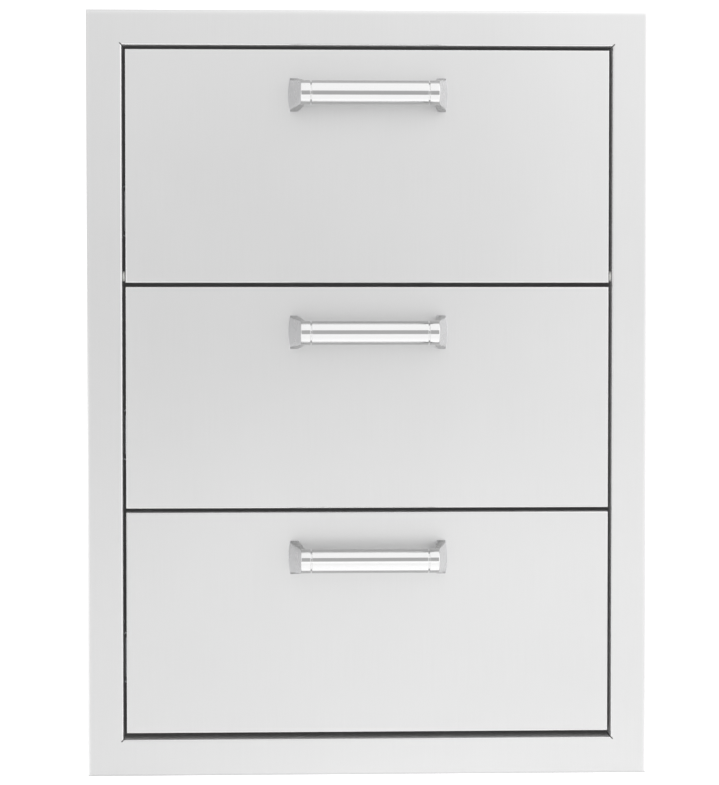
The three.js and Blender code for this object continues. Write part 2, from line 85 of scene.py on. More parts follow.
# Handles.
BAR_STEPS = 96
BAR_WALL = 1.5 * MM
BAR_EASE = 0.45 * MM
COLLAR_GAP = 0.9 * MM
COLLAR_LENGTH = 8.5 * MM
COLLAR_STEPS = 64
WEB_LENGTH = 3.5 * MM
SPIGOT_GAP = 0.3 * MM
FOOT_WIDTH = 9 * MM
FOOT_BOW = 1.6 * MM
FOOT_STEPS = 8
POST_EDGE = 0.5 * MM

# Ball cages of the slides.
BALL_RADIUS = 1.9 * MM
BALL_INSET = 8 * MM
BALLS_IN_ROW = 14
BALL_STEPS_ROUND = 10
BALL_STEPS_DOWN = 6
CAGE_SHEET = 0.5 * MM
CAGE_CELLS = 14
CAGE_WINDOW_INSET = 3 * MM
CAGE_WINDOW_CORNER = 2.4 * MM
CAGE_LEG_SETBACK = 1.5 * BALL_RADIUS

# Slides: holes behind the front end, and places inward from their outer faces.
SLIDE_HOLES = {"front": 38 * MM, "rear": 462 * MM}
DRAWER_WEB = 11.4 * MM
LEVER_FACE = 8.4 * MM

# Screws and rivets. A dome's step is inset by a share of its radius and rises by a share of its height.
TRAY_SHEET = 1 * MM
FRONT_SHEET = 1 * MM
PAN_HEAD_RADIUS = 4 * MM
PAN_HEAD_HEIGHT = 2.2 * MM
HANDLE_SCREW_RADIUS = 4 * MM
HANDLE_SCREW_HEIGHT = 2.8 * MM
HANDLE_SCREW_INSET = 5.5 * MM
RIVET_RADIUS = 4.2 * MM
RIVET_HEIGHT = 1.2 * MM
HEAD_STEPS = 24
DOME_WALL_SHARE = 0.4
DOME_STEP_SHARES = ((0.14, 0.28), (0.22, 0.22), (0.26, 0.1))
RECESS_SHARE = 0.55
RECESS_WIDTH_SHARE = 0.26
RECESS_DEPTH_SHARE = 0.6
RECESS_TAPER_SHARE = 0.6

# Release levers. Each place along one has a height and a rise, both as shares of LEVER_HEIGHT.
LEVER_START = 66 * MM
LEVER_LENGTH = 56 * MM
LEVER_HEIGHT = 10 * MM
LEVER_THICKNESS = 2.4 * MM
LEVER_EDGE = 0.3 * MM
LEVER_EDGE_STEPS = 2
LEVER_HEIGHT_SHARES = ((0.9, 0.45), (1.05, 0.4), (0.6, 0.1), (0.5, 0), (0.55, 0), (0.9, 0), (0.9, 0))

# Black blocks on the rails' ends, as painted shade in the side gaps.
END_SHADE_LENGTH = 14 * MM
END_SHADE_THICKNESS = 1.2 * MM
END_SHADE_EDGE = 0.4 * MM

# The frame's flange, and the dark strips that stand as painted shade in the slits at its opening's corners,
# along each diagonal.
FLANGE_WIDTH = 31.5 * MM
FLANGE_BELOW = 32.7 * MM
SLIT_SHADE_WIDTH = 0.9 * MM
SLIT_SHADE_FROM = 0.2 * MM
SLIT_SHADE_TO = 2.7 * MM
SLIT_SHADE_SETBACK = 0.4 * MM
SLIT_SHADE_DEPTH = 30 * MM
SLIT_SHADE_EDGE = 0.15 * MM

# Spot welds along the cabinet's lapped edges, and how near to its outer faces they begin and are full.
WELD_PITCH = 92 * MM
WELD_RADIUS = 3.4 * MM
WELD_INSET = 7.5 * MM
WELD_FROM = 1 * MM
WELD_FULL = 0.2 * MM

# Widths of the finishes' grain along each axis, and the depth of their relief.
FACE_GRAIN = (0.5 * MM, 0.5 * MM, 70 * MM)
CABINET_GRAIN = (1.2 * MM, 90 * MM, 1.2 * MM)
SCUFF_GRAIN = (0.8 * MM, 34 * MM, 9 * MM)
SLIDE_GRAIN = (0.7 * MM, 40 * MM, 0.7 * MM)
TURNED_GRAIN = (0.25 * MM, 6 * MM, 6 * MM)
CAGE_GRAIN = (2 * MM, 2 * MM, 2 * MM)
SCREW_GRAIN = (0.6 * MM, 0.6 * MM, 0.6 * MM)
STEEL_RELIEF = 0.05 * MM
PLASTIC_RELIEF = 0.04 * MM

# The frame's rim: bands of painted highlight at its sides and top, and a band of painted shade at its foot.
RIM_SIDE_HIGHLIGHT = 4 * MM
RIM_TOP_HIGHLIGHT = 5.5 * MM
RIM_FOOT_SHADE = 2.2 * MM
RIM_FOOT_SHADE_FULL = 1 * MM

# Where the posts' polish ends.
POLISH_EDGE = 0.2 * MM
POLISH_BLEND = 1 * MM
POLISH_PAST_COLLAR = 0.1 * MM

# The camera that took the photograph, found from the unit's own corners, with its lens in millimetres.
CAMERA_PLACE = (-0.12442, -2.62169, 0.44061)
CAMERA_YAW = -0.04471
CAMERA_PITCH = -0.03809
CAMERA_LENS = 135.33

# Studio light.
SURROUND_LIGHT = 0.95
SURROUND_LEAN = 0.28
SURROUND_SIDES = 0.15
SURROUND_DIP = 0.08
SURROUND_DIP_HEIGHT = 0.35
BACKDROP_GLOW = 0.6
FLOOR_SIZE = 14
FLOOR_GLOW = 0.6
FLOOR_BACKDROP_GLOW = 0.35
FLOOR_NEAR_GLOW = 0.2
FLOOR_NEAR_MIDDLE = 0.05
FLOOR_NEAR_HALF = 0.45
FLOOR_NEAR_REACH = -0.5
BLACK_LIFT = -0.035
CARD_PLACE = (0.04, -0.95, 0.53)
CARD_WIDTH = 0.56
CARD_HEIGHT = 0.64
CARD_LIGHT = 0.41
CARD_GRADED = 0.12
CARD_FOOT_GAIN = 1.5
FILL_PLACE = (0.04, -0.94, 0.45)
FILL_WIDTH = 1.7
FILL_HEIGHT = 1.8
FILL_LIGHT = 0.42
FILL_LEAN = 0.2
FILL_LOW = 0.15
FILL_LOW_GAIN = 1.4
FILL_LOW_LEAN = 1.5
FILL_HIGH = 0.36
FILL_HIGH_GAIN = 0.34


# Shader values and node trees.
class Value:
    """A node's output that adds Math nodes as it is used in a sum."""

    def __init__(self, tree, socket):
        self.tree = tree
        self.socket = socket

    def math(self, operation, first, second=0):
        return self.tree.node("ShaderNodeMath", {"operation": operation}, {0: first, 1: second})

    def __add__(self, other):
        return self.math("ADD", self, other)

    def __radd__(self, other):
        return self.math("ADD", other, self)

    def __sub__(self, other):
        return self.math("SUBTRACT", self, other)

    def __rsub__(self, other):
        return self.math("SUBTRACT", other, self)

    def __mul__(self, other):
        return self.math("MULTIPLY", self, other)

    def __rmul__(self, other):
        return self.math("MULTIPLY", other, self)

    def __abs__(self):
        return self.math("ABSOLUTE", self)

    def at_least(self, least):
        return self.math("MAXIMUM", self, least)


class Tree:
    """A node tree whose nodes all come from one method."""

    def __init__(self, owner):
        owner.use_nodes = True
        self.owner = owner
        self.nodes = owner.node_tree.nodes
        self.links = owner.node_tree.links

    def node(self, kind, settings=None, inputs=None, output=0):
        made = self.nodes.new(kind)
        for key, setting in (settings or {}).items():
            if key == "stops":
                self.set_stops(made.color_ramp.elements, setting)
            else:
                setattr(made, key, setting)
        for key, value in (inputs or {}).items():
            if isinstance(value, Value):
                self.links.new(value.socket, made.inputs[key])
            else:
                made.inputs[key].default_value = value
        return Value(self, made.outputs[output])

    def set_stops(self, elements, stops):
        while len(elements) < len(stops):
            elements.new(1)
        for element, (place, level) in zip(elements, stops):
            element.position = place
            element.color = (level, level, level, 1)

    def noise(self, vector, scale, detail=2, roughness=0.5):
        inputs = {"Vector": vector, "Scale": scale, "Detail": detail, "Roughness": roughness}
        return self.node("ShaderNodeTexNoise", None, inputs)

    def ramp(self, value, *stops):
        return self.node("ShaderNodeValToRGB", {"stops": stops}, {0: value})

    def mask(self, value, outside, inside):
        """0 where the value is "outside", eased to 1 where it is "inside"."""
        inputs = {"Value": value, "From Min": outside, "From Max": inside}
        return self.node("ShaderNodeMapRange", {"interpolation_type": "SMOOTHSTEP"}, inputs)

    def part(self, vector, axis):
        return self.node("ShaderNodeSeparateXYZ", None, {0: vector}, axis)

    def tint(self, share, first, second):
        first = first if isinstance(first, Value) else (*first, 1)
        second = second if isinstance(second, Value) else (*second, 1)
        return self.node("ShaderNodeMix", {"data_type": "RGBA"}, {0: share, 6: first, 7: second}, 2)


class Finish(Tree):
    """A material: constants go on its shader's own sockets, and patterns are linked to a few."""

    def __init__(self, name, constants):
        super().__init__(bpy.data.materials.new(name))
        self.shader = self.nodes["Principled BSDF"]
        for socket, value in constants.items():
            self.shader.inputs[socket].default_value = value
        self.place = self.node("ShaderNodeTexCoord", None, None, "Object")
        self.normal = self.node("ShaderNodeTexCoord", None, None, "Normal")

    def grain(self, widths, detail=3, roughness=0.6):
        """Noise with a width of its own along each axis."""
        scales = [1 / width for width in widths]
        stretched = self.node("ShaderNodeMapping", None, {"Vector": self.place, "Scale": scales})
        return self.noise(stretched, 1, detail, roughness)

    def drive(self, socket, value):
        self.links.new(value.socket, self.shader.inputs[socket])

    def relief(self, height, strength, distance=STEEL_RELIEF):
        inputs = {"Strength": strength, "Distance": distance, "Height": height}
        self.drive("Normal", self.node("ShaderNodeBump", None, inputs))


def grey(level):
    return (level, level, level)


# Finishes.
def mottled_steel(name, dark, light, roughness, grain, relief):
    """Steel with a fine mottle, slow clouding and a few smudges."""
    finish = Finish(name, {"Metallic": 1})
    mottle = finish.grain(grain)
    clouds = finish.noise(finish.place, 7, 3)
    smudges = finish.ramp(finish.noise(finish.place, 21, 4, 0.6), (0.5, 0), (0.72, 1))
    finish.drive("Base Color", finish.tint(mottle * 0.55 + clouds * 0.45, dark, light))
    finish.drive("Roughness", roughness - 0.05 + (mottle + clouds + smudges * 0.5) * 0.05)
    finish.relief(mottle, relief)
    return finish.owner


def satin_face():
    """Satin sheet with an upright grain; painted highlights on its bends and on the rim's sides and top,
    painted shade on the rim's foot.
    """
    finish = Finish("satin_face", {"Metallic": 1})
    low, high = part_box("face_frame")
    x, z = finish.part(finish.place, "X"), finish.part(finish.place, "Z")
    streaks = finish.grain(FACE_GRAIN)
    clouds = finish.noise(finish.place, 7, 3)
    turned = finish.part(finish.normal, "Y")
    front_on = turned * turned
    # Painted highlight: the rounds of the bends, between the front faces and the returns, are tinted
    # lighter, and they are less rough too.
    painted_bend_highlight = finish.mask(front_on, 0.97, 0.75) * finish.mask(front_on, 0, 0.1)
    folded_in = finish.mask(front_on, 0.1, 0)
    # Painted highlight: lighter bands along the rim at the sides and top; painted shade: a darker band along
    # the rim's foot.
    beside = finish.mask(high.x - abs(x), RIM_SIDE_HIGHLIGHT, 0)
    above = finish.mask(high.z - z, RIM_TOP_HIGHLIGHT, 0)
    painted_shade_under = finish.mask(z - low.z, RIM_FOOT_SHADE, RIM_FOOT_SHADE_FULL)
    plain = finish.tint(streaks * 0.25 + clouds * 0.25, grey(0.67), grey(0.84))
    plain = finish.tint(painted_bend_highlight * 0.8, plain, grey(0.9))
    plain = finish.tint(beside * 0.35 + above * 0.6, plain, grey(0.9))
    finish.drive("Base Color", finish.tint(painted_shade_under * 0.6, plain, grey(0.5)))
    finish.drive("Metallic", 1 - folded_in * 0.7)
    finish.drive("Roughness", 0.31 + streaks * 0.03 + clouds * 0.03 - painted_bend_highlight * 0.12)
    finish.relief(streaks, 0.05)
    return finish.owner


def weld_spots(finish, across, along, row):
    """1 in the middle of a round spot weld, 0 outside it: a row at ±row, repeated along an axis."""
    beside = abs(across) - row
    beyond = along.math("PINGPONG", along, WELD_PITCH / 2)
    return finish.mask(beside * beside + beyond * beyond, WELD_RADIUS**2, 0)


def cabinet_steel():
    """Mill-finish sheet: rolling lines, slow clouds, handling marks and spot welds by the laps."""
    finish = Finish("cabinet_steel", {"Metallic": 1})
    x, y, z = (finish.part(finish.place, axis) for axis in "XYZ")
    rolled = finish.grain(CABINET_GRAIN)
    mottle = finish.noise(finish.place, 420, 3, 0.7)
    clouds = finish.noise(finish.place, 6, 4, 0.6)
    handled = finish.ramp(finish.noise(finish.place, 16, 5, 0.65), (0.52, 0), (0.7, 1))
    scuffs = finish.ramp(finish.grain(SCUFF_GRAIN, 2, 0.5), (0.7, 0), (0.78, 1))
    back_low, back_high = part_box("back_panel")
    side_low, side_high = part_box("side_panel_left")
    middle = (side_low.z + side_high.z) / 2
    on_back = finish.mask(y, back_low.y - WELD_FROM, back_low.y)
    on_side = finish.mask(abs(x), back_high.x - WELD_FROM, back_high.x - WELD_FULL)
    spots = on_back * weld_spots(finish, x, z, back_high.x - WELD_INSET)
    spots = spots + on_side * weld_spots(finish, z - middle, y, side_high.z - middle - WELD_INSET)
    share = rolled * 0.35 + clouds * 0.45 + mottle * 0.2
    plain = finish.tint(share, (0.53, 0.54, 0.55), (0.72, 0.73, 0.74))
    finish.drive("Base Color", finish.tint(spots * 0.7, plain, (0.43, 0.40, 0.36)))
    finish.drive("Roughness", 0.24 + (rolled + clouds) * 0.1 + handled * 0.07 + scuffs * 0.12)
    finish.relief(mottle * 0.3 + rolled * 0.4 - spots * 3, 0.12)
    return finish.owner


def slide_steel():
    """Bluish zinc-plated slide sections: fine drawing lines, and faint yellow patches."""
    finish = Finish("slide_steel", {"Metallic": 1})
    drawn = finish.grain(SLIDE_GRAIN)
    spangle = finish.noise(finish.place, 140, 3, 0.6)
    yellowed = finish.ramp(finish.noise(finish.place, 9, 3), (0.5, 0), (0.7, 0.5))
    plain = finish.tint(drawn * 0.5 + spangle * 0.5, (0.46, 0.49, 0.53), (0.66, 0.69, 0.72))
    finish.drive("Base Color", finish.tint(yellowed, plain, (0.62, 0.61, 0.52)))
    finish.drive("Roughness", 0.24 + drawn * 0.1 + spangle * 0.08)
    finish.relief(drawn, 0.08)
    return finish.owner


def polished_and_shaded_colour(finish, rings):
    """Turned, polished steel with a painted dark reflection along its silhouette's top and bottom, and
    painted shade below.
    """
    up = finish.part(finish.normal, "Z")
    grazing = finish.node("ShaderNodeLayerWeight", None, {"Blend": 0.5}, "Facing")
    # Painted shade: the lower half is tinted darker.
    painted_shade_under = finish.mask(up, 0.06, -0.2)
    below = finish.mask(up, -0.3, -0.5)
    # Painted reflection: a dark line along the top and bottom of the silhouette, where the shaded front
    # behind it would show.
    painted_dark_outline = finish.mask(grazing, 0.32 + below * 0.02, 0.4) * (finish.mask(up, 0.3, 0.5) + below)
    bright = finish.tint(painted_shade_under * 0.65, finish.tint(rings, grey(0.92), grey(0.95)), grey(0.8))
    return finish.tint(painted_dark_outline, bright, grey(0.48))


def cast_post():
    """Cast posts: an unpolished leg with painted shade on its faces that look up or down, whose collar and
    front are turned and polished with the bar.
    """
    finish = Finish("cast_post", {"Metallic": 1})
    low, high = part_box("top_handle_bar")
    axis = (low.y + high.y) / 2
    web = high.x + COLLAR_GAP + COLLAR_LENGTH - WEB_LENGTH
    end = web + WEB_LENGTH + POLISH_PAST_COLLAR
    out = abs(finish.part(finish.place, "X"))
    collar = finish.mask(out, web + POLISH_EDGE, web - POLISH_EDGE)
    front = finish.mask(finish.part(finish.place, "Y"), axis + POLISH_BLEND, axis - POLISH_BLEND)
    polish = (collar + (1 - collar) * front) * finish.mask(out, end + POLISH_EDGE, end - POLISH_EDGE)
    grit = finish.noise(finish.place, 900, 3, 0.6)
    clouds = finish.noise(finish.place, 45, 3)
    # Painted shade: faces that look up or down are tinted darker.
    level = finish.mask(abs(finish.part(finish.normal, "Z")), 0.5, 0.8)
    upright = finish.tint(grit * 0.4 + clouds * 0.6, (0.66, 0.66, 0.67), (0.78, 0.78, 0.79))
    dull_and_shaded = finish.tint(level, upright, grey(0.3))
    bright = polished_and_shaded_colour(finish, finish.grain(TURNED_GRAIN))
    finish.drive("Base Color", finish.tint(polish, dull_and_shaded, bright))
    finish.drive("Roughness", 0.24 + clouds * 0.08 - polish * 0.19)
    finish.relief(grit * (1 - polish), 0.1)
    return finish.owner


def polished_bar():
    """Polished tube with faint turning rings, with a painted dark reflection and painted shade."""
    finish = Finish("polished_bar", {"Metallic": 1})
    rings = finish.grain(TURNED_GRAIN)
    clouds = finish.noise(finish.place, 30, 3)
    finish.drive("Base Color", polished_and_shaded_colour(finish, rings))
    finish.drive("Roughness", 0.05 + rings * 0.02 + clouds * 0.02)
    finish.relief(rings, 0.02)
    return finish.owner


def moulded_plastic(name, dark, light, roughness):
    """Plastic, and a near-black for painted shade, with a fine texture and slow clouding."""
    finish = Finish(name, {})
    fine = finish.noise(finish.place, 1800, 2)
    clouds = finish.noise(finish.place, 60, 3)
    finish.drive("Base Color", finish.tint(clouds, dark, light))
    finish.drive("Roughness", roughness + (fine - 0.5) * 0.12)
    finish.relief(fine, 0.15, PLASTIC_RELIEF)
    return finish.owner


FINISHES = {
    "satin_face": satin_face(),
    "cabinet_steel": cabinet_steel(),
    "slide_steel": slide_steel(),
    "ball_cage": mottled_steel("ball_cage", (0.66, 0.67, 0.69), (0.84, 0.85, 0.86), 0.18, CAGE_GRAIN, 0.02),
    "polished_bar": polished_bar(),
    "cast_post": cast_post(),
    "nylon": moulded_plastic("nylon", (0.80, 0.80, 0.77), (0.90, 0.90, 0.87), 0.42),
    "screw": mottled_steel("plated_screw", (0.52, 0.53, 0.54), (0.74, 0.75, 0.76), 0.24, SCREW_GRAIN, 0.05),
    "lever": moulded_plastic("lever_plastic", (0.012, 0.012, 0.013), (0.03, 0.03, 0.032), 0.4),
    # Painted shade: a near-black for the blocks and strips that stand in the shaded gaps and slits.
    "shade_black": moulded_plastic("black_for_shade", grey(0.01), grey(0.022), 0.6),
}


# What the frame says of its nodes.
def slot_of(node):
    return node.data.materials[0].name


def body_of(node):
    return next(name for name, body in frame["bodies"].items() if body is node.parent)


# Modelling by hand, step by step.
def select_only(piece):
    bpy.ops.object.select_all(action="DESELECT")
    piece.select_set(True)
    bpy.context.view_layer.objects.active = piece


def start(name, add, place, turn=(0, 0, 0), size=(1, 1, 1), **settings):
    """A primitive sized, turned and put in place, whose object sits at the origin."""
    bpy.ops.object.select_all(action="DESELECT")
    add(**settings)
    piece = bpy.context.active_object
    piece.name = name
    piece.data.name = name
    piece.location = place
    piece.rotation_euler = turn
    piece.scale = size
    bpy.ops.object.transform_apply(location=True, rotation=True, scale=True)
    return piece


@contextlib.contextmanager
def shaping(piece):
    """Edit mode on one piece."""
    select_only(piece)
    bpy.ops.object.mode_set(mode="EDIT")
    yield
    bpy.ops.object.mode_set(mode="OBJECT")


def pick(kind, test):
    """Selects the faces, edges or verts of the mesh in edit mode that pass a test."""
    bpy.ops.mesh.select_mode(type={"verts": "VERT", "edges": "EDGE", "faces": "FACE"}[kind])
    bpy.ops.mesh.select_all(action="DESELECT")
    mesh = bpy.context.edit_object.data
    for item in getattr(bmesh.from_edit_mesh(mesh), kind):
        if test(item):
            item.select_set(True)
    bmesh.update_edit_mesh(mesh)


def both_ends(test):
    """An edge test: the places of both its ends pass."""
    return lambda edge: all(test(vert.co) for vert in edge.verts)


def runs_back(edge):
    """Whether an edge runs from front to back."""
    return abs(edge.verts[0].co.y - edge.verts[1].co.y) > MM


def middle_of(face):
    return sum((vert.co for vert in face.verts), Vector()) / len(face.verts)


def looks_inward(side, reach):
    """A face test: it looks straight at the unit's middle, and lies no further out than a place."""

    def passes(face):
        straight = abs(face.normal.x + side) < NORMAL_SLACK
        return straight and abs(middle_of(face).x) < reach + PLACE_SLACK

    return passes


def extrude(x):
    """Extrudes the selection along X."""
    bpy.ops.mesh.extrude_region_move(TRANSFORM_OT_translate={"value": (x, 0, 0)})


def turn_faces_out():
    bpy.ops.mesh.select_all(action="SELECT")
    bpy.ops.mesh.normals_make_consistent(inside=False)


def joined(piece, other):
    select_only(piece)
    other.select_set(True)
    bpy.ops.object.join()


def apply_modifier(piece, kind, **settings):
    select_only(piece)
    modifier = piece.modifiers.new(kind.lower(), kind)
    for key, value in settings.items():
        setattr(modifier, key, value)
    bpy.ops.object.modifier_apply(modifier=modifier.name)


def finish_off(piece, finish, body):
    """Smooth shading, the finish, and the body that the piece rides on."""
    select_only(piece)
    bpy.ops.object.shade_smooth_by_angle(angle=SMOOTH_ANGLE)
    apply_modifier(piece, "WEIGHTED_NORMAL", keep_sharp=True)
    piece.data.materials.clear()
    piece.data.materials.append(FINISHES[finish])
    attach(piece, body)
    return piece


def copied(piece, name, place=Matrix()):
    """A copy with a mesh of its own, moved in its mesh."""
    copy = bpy.data.objects.new(name, piece.data.copy())
    copy.data.name = name
    bpy.context.scene.collection.objects.link(copy)
    copy.data.transform(place)
    return copy


def for_each_drawer(piece, name, like, finish, body, stands_for=None):
    """Finishes the top drawer's piece, and copies it to the others by the places of a like node."""
    at_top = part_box(f"top_{like}")[0]
    for drawer in DRAWERS:
        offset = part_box(f"{drawer}_{like}")[0] - at_top
        made = piece if drawer == "top" else copied(piece, f"{drawer}_{name}", Matrix.Translation(offset))
        if stands_for:
            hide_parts(f"{drawer}_{stands_for}")
        finish_off(made, finish, f"{drawer}_{body}")


# Pieces.
def smooth_sheet(name):
    """A node's own shape with its doubles merged, so that its bends shade as rounds."""
    node = frame["nodes"][name]
    piece = copied(node, f"{name}_sheet")
    with shaping(piece):
        bpy.ops.mesh.select_all(action="SELECT")
        bpy.ops.mesh.remove_doubles(threshold=MERGE_DISTANCE)
        bpy.ops.mesh.dissolve_limited(angle_limit=FLAT_ANGLE)
    select_only(piece)
    bpy.ops.mesh.customdata_custom_splitnormals_clear()
    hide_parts(name)
    return finish_off(piece, slot_of(node), body_of(node))


def handle_bar():
    """A tube with eased ends."""
    low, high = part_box("top_handle_bar")
    bar = start(
        "top_polished_bar",
        bpy.ops.mesh.primitive_cylinder_add,
        vertices=BAR_STEPS,
        radius=(high.z - low.z) / 2,
        depth=high.x - low.x,
        place=(low + high) / 2,
        turn=TO_RIGHT,
    )
    with shaping(bar):
        pick("edges", lambda edge: any(len(face.verts) > 4 for face in edge.link_faces))
        bpy.ops.mesh.bevel(offset=BAR_EASE, segments=EDGE_STEPS, affect="EDGES")
        pick("faces", lambda face: len(face.verts) == BAR_STEPS)
        bpy.ops.mesh.inset(thickness=BAR_WALL - BAR_EASE)
        bpy.ops.mesh.delete(type="ONLY_FACE")
        pick("edges", lambda edge: edge.is_boundary)
        bpy.ops.mesh.bridge_edge_loops()
        turn_faces_out()
    for_each_drawer(bar, "polished_bar", "handle_bar", "polished_bar", "drawer", "handle_bar")


def handle_post(side_name, side):
    """A leg that spreads to a bowed foot, with a collar and a spigot inside the bar."""
    bar_low, bar_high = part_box("top_handle_bar")
    low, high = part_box(f"top_handle_post_{side_name}")
    axis = (bar_low + bar_high) / 2
    collar = bar_high.x + COLLAR_GAP
    web = collar + COLLAR_LENGTH - WEB_LENGTH
    foot = max(abs(low.x), abs(high.x))
    post = start(
        f"top_cast_post_{side_name}",
        bpy.ops.mesh.primitive_cylinder_add,
        vertices=COLLAR_STEPS,
        radius=(bar_high.z - bar_low.z) / 2,
        depth=WEB_LENGTH,
        place=(side * (web + WEB_LENGTH / 2), axis.y, axis.z),
        turn=TO_RIGHT,
    )
    sole = start(
        "sole",
        bpy.ops.mesh.primitive_plane_add,
        place=(side * (foot - FOOT_WIDTH / 2), high.y, axis.z),
        turn=TO_FRONT,
        size=(FOOT_WIDTH / 2, (high.z - low.z) / 2, 1),
    )
    joined(post, sole)
    with shaping(post):
        outside = foot - POST_EDGE
        pick("edges", both_ends(lambda end: abs(end.x) > outside))
        bpy.ops.mesh.subdivide(number_cuts=FOOT_STEPS - 1)
        for step in range(1, FOOT_STEPS // 2 + 1):
            share = 2 * step / FOOT_STEPS
            rise = share * (high.z - low.z) / 2
            pick(
                "verts",
                lambda vert: abs(vert.co.x) > outside and abs(abs(vert.co.z - axis.z) - rise) < POST_EDGE,
            )
            bpy.ops.transform.translate(value=(-side * FOOT_BOW * share**2, 0, 0))
        bpy.ops.mesh.select_mode(type="VERT")
        bpy.ops.mesh.select_all(action="SELECT")
        bpy.ops.mesh.convex_hull()
        bpy.ops.mesh.select_all(action="SELECT")
        bpy.ops.mesh.dissolve_limited(angle_limit=HULL_FLAT_ANGLE)
        pick("faces", looks_inward(side, web))
        extrude(side * (collar - web))
    apply_modifier(post, "BEVEL", width=POST_EDGE, segments=EDGE_STEPS, limit_method="ANGLE")
    with shaping(post):
        pick("faces", looks_inward(side, collar))
        bpy.ops.mesh.inset(thickness=BAR_WALL + SPIGOT_GAP - POST_EDGE)
        extrude(side * (min(abs(low.x), abs(high.x)) - collar))
        turn_faces_out()
    name = f"handle_post_{side_name}"
    for_each_drawer(post, f"cast_post_{side_name}", name, "cast_post", "drawer", name)


def inward(side, depth):
    """The x of a place that lies so far in from the slides' outer faces."""
    return side * (abs(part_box("top_right_slide_cabinet_member")[1].x) - depth)


def ball_rows(name, x, start_y, low_z, high_z, pitch):
    """Two rows of balls."""
    balls = start(
        name,
        bpy.ops.mesh.primitive_uv_sphere_add,
        segments=BALL_STEPS_ROUND,
        ring_count=BALL_STEPS_DOWN,
        radius=BALL_RADIUS,
        place=(x, start_y, low_z),
        turn=TO_RIGHT,
    )
    row = {"fit_type": "FIXED_COUNT", "use_relative_offset": False, "use_constant_offset": True}
    apply_modifier(balls, "ARRAY", **row, count=BALLS_IN_ROW, constant_offset_displace=(0, pitch, 0))
    apply_modifier(balls, "ARRAY", **row, count=2, constant_offset_displace=(0, 0, high_z - low_z))
    return balls


def ball_cage(side_name, side, kind):
    """A pierced strip with its balls, plain in the cabinet member and with legs in the drawer member."""
    like = f"{side_name}_slide_{kind}_ball_cage"
    low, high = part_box(f"top_{like}")
    z = (low.z + high.z) / 2
    half_height = (high.z - low.z) / 2 - BALL_RADIUS
    length = high.y - low.y
    outer, inner = max(abs(low.x), abs(high.x)), min(abs(low.x), abs(high.x))
    strip = start(
        f"top_{side_name}_{kind}_cage",
        bpy.ops.mesh.primitive_plane_add,
        place=(side * (outer - CAGE_SHEET / 2), (low.y + high.y) / 2, z),
        turn=TO_RIGHT,
        size=(half_height, length / 2, 1),
    )
    with shaping(strip):
        pick("edges", runs_back)
        bpy.ops.mesh.subdivide(number_cuts=CAGE_CELLS - 1)
        pick("faces", lambda face: int((middle_of(face).y - low.y) / length * CAGE_CELLS) % 2 == 1)
        bpy.ops.mesh.inset(thickness=CAGE_WINDOW_INSET, use_individual=True)
        bpy.ops.mesh.delete(type="FACE")
        pick("verts", lambda vert: abs(vert.co.z - z) < half_height - CAGE_WINDOW_INSET / 2)
        bpy.ops.mesh.bevel(offset=CAGE_WINDOW_CORNER, segments=EDGE_STEPS, affect="VERTICES")
        if kind == "drawer":
            on_rim = both_ends(lambda end: abs(end.z - z) > half_height - RIM_SLACK)
            pick("edges", lambda edge: edge.is_boundary and on_rim(edge))
            extrude(-side * (outer - CAGE_SHEET / 2 - inner - CAGE_LEG_SETBACK))
    apply_modifier(strip, "SOLIDIFY", thickness=CAGE_SHEET, offset=0)
    balls = ball_rows(
        f"{side_name}_{kind}_balls",
        x=side * (inner + BALL_RADIUS),
        start_y=low.y + BALL_INSET,
        low_z=z - half_height,
        high_z=z + half_height,
        pitch=(length - 2 * BALL_INSET) / (BALLS_IN_ROW - 1),
    )
    joined(strip, balls)
    with shaping(strip):
        turn_faces_out()
    for_each_drawer(strip, f"{side_name}_{kind}_cage", like, "ball_cage", f"{kind}_ball_cages", like)


def domed_head(name, radius, height):
    """A low domed head, made at the origin and facing +X."""
    head = start(
        name,
        bpy.ops.mesh.primitive_cylinder_add,
        vertices=HEAD_STEPS,
        radius=radius,
        depth=height * DOME_WALL_SHARE,
        place=(height * DOME_WALL_SHARE / 2, 0, 0),
        turn=TO_RIGHT,
    )
    with shaping(head):
        pick("faces", lambda face: face.normal.x > NORMAL_LEAST)
        for inset, rise in DOME_STEP_SHARES:
            bpy.ops.mesh.inset(thickness=radius * inset)
            bpy.ops.transform.translate(value=(height * rise, 0, 0))
    return head


def screw_head(name, radius, height):
    """A domed head with a cross recess."""
    head = domed_head(name, radius, height)
    for turn in (0, math.pi / 2):
        cutter = start(
            "recess",
            bpy.ops.mesh.primitive_cube_add,
            place=(height, 0, 0),
            turn=(turn, 0, 0),
            size=(height * RECESS_DEPTH_SHARE, radius * RECESS_SHARE, radius * RECESS_WIDTH_SHARE / 2),
        )
        with shaping(cutter):
            pick("faces", lambda face: face.normal.x < -NORMAL_LEAST)
            bpy.ops.transform.resize(value=(1, RECESS_TAPER_SHARE, RECESS_TAPER_SHARE))
        apply_modifier(head, "BOOLEAN", operation="DIFFERENCE", object=cutter, solver="EXACT")
        bpy.data.objects.remove(cutter)
    return head


def fixings(head, name, out, facing, like):
    """A head's copies at each slide's holes, so far out from the middle and facing out (1) or in (-1)."""
    for side_name, side in SIDES.items():
        turn = Matrix.Rotation(0 if side * facing > 0 else math.pi, 4, "Z")
        for hole, setback in SLIDE_HOLES.items():
            for drawer in DRAWERS:
                low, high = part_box(f"{drawer}_{side_name}_slide_{like}")
                place = Matrix.Translation((side * out, low.y + setback, (low.z + high.z) / 2))
                made = copied(head, f"{drawer}_{side_name}_{name}_{hole}", place @ turn)
                finish_off(made, "screw", "cabinet" if like == "cabinet_member" else f"{drawer}_drawer")
    bpy.data.objects.remove(head)


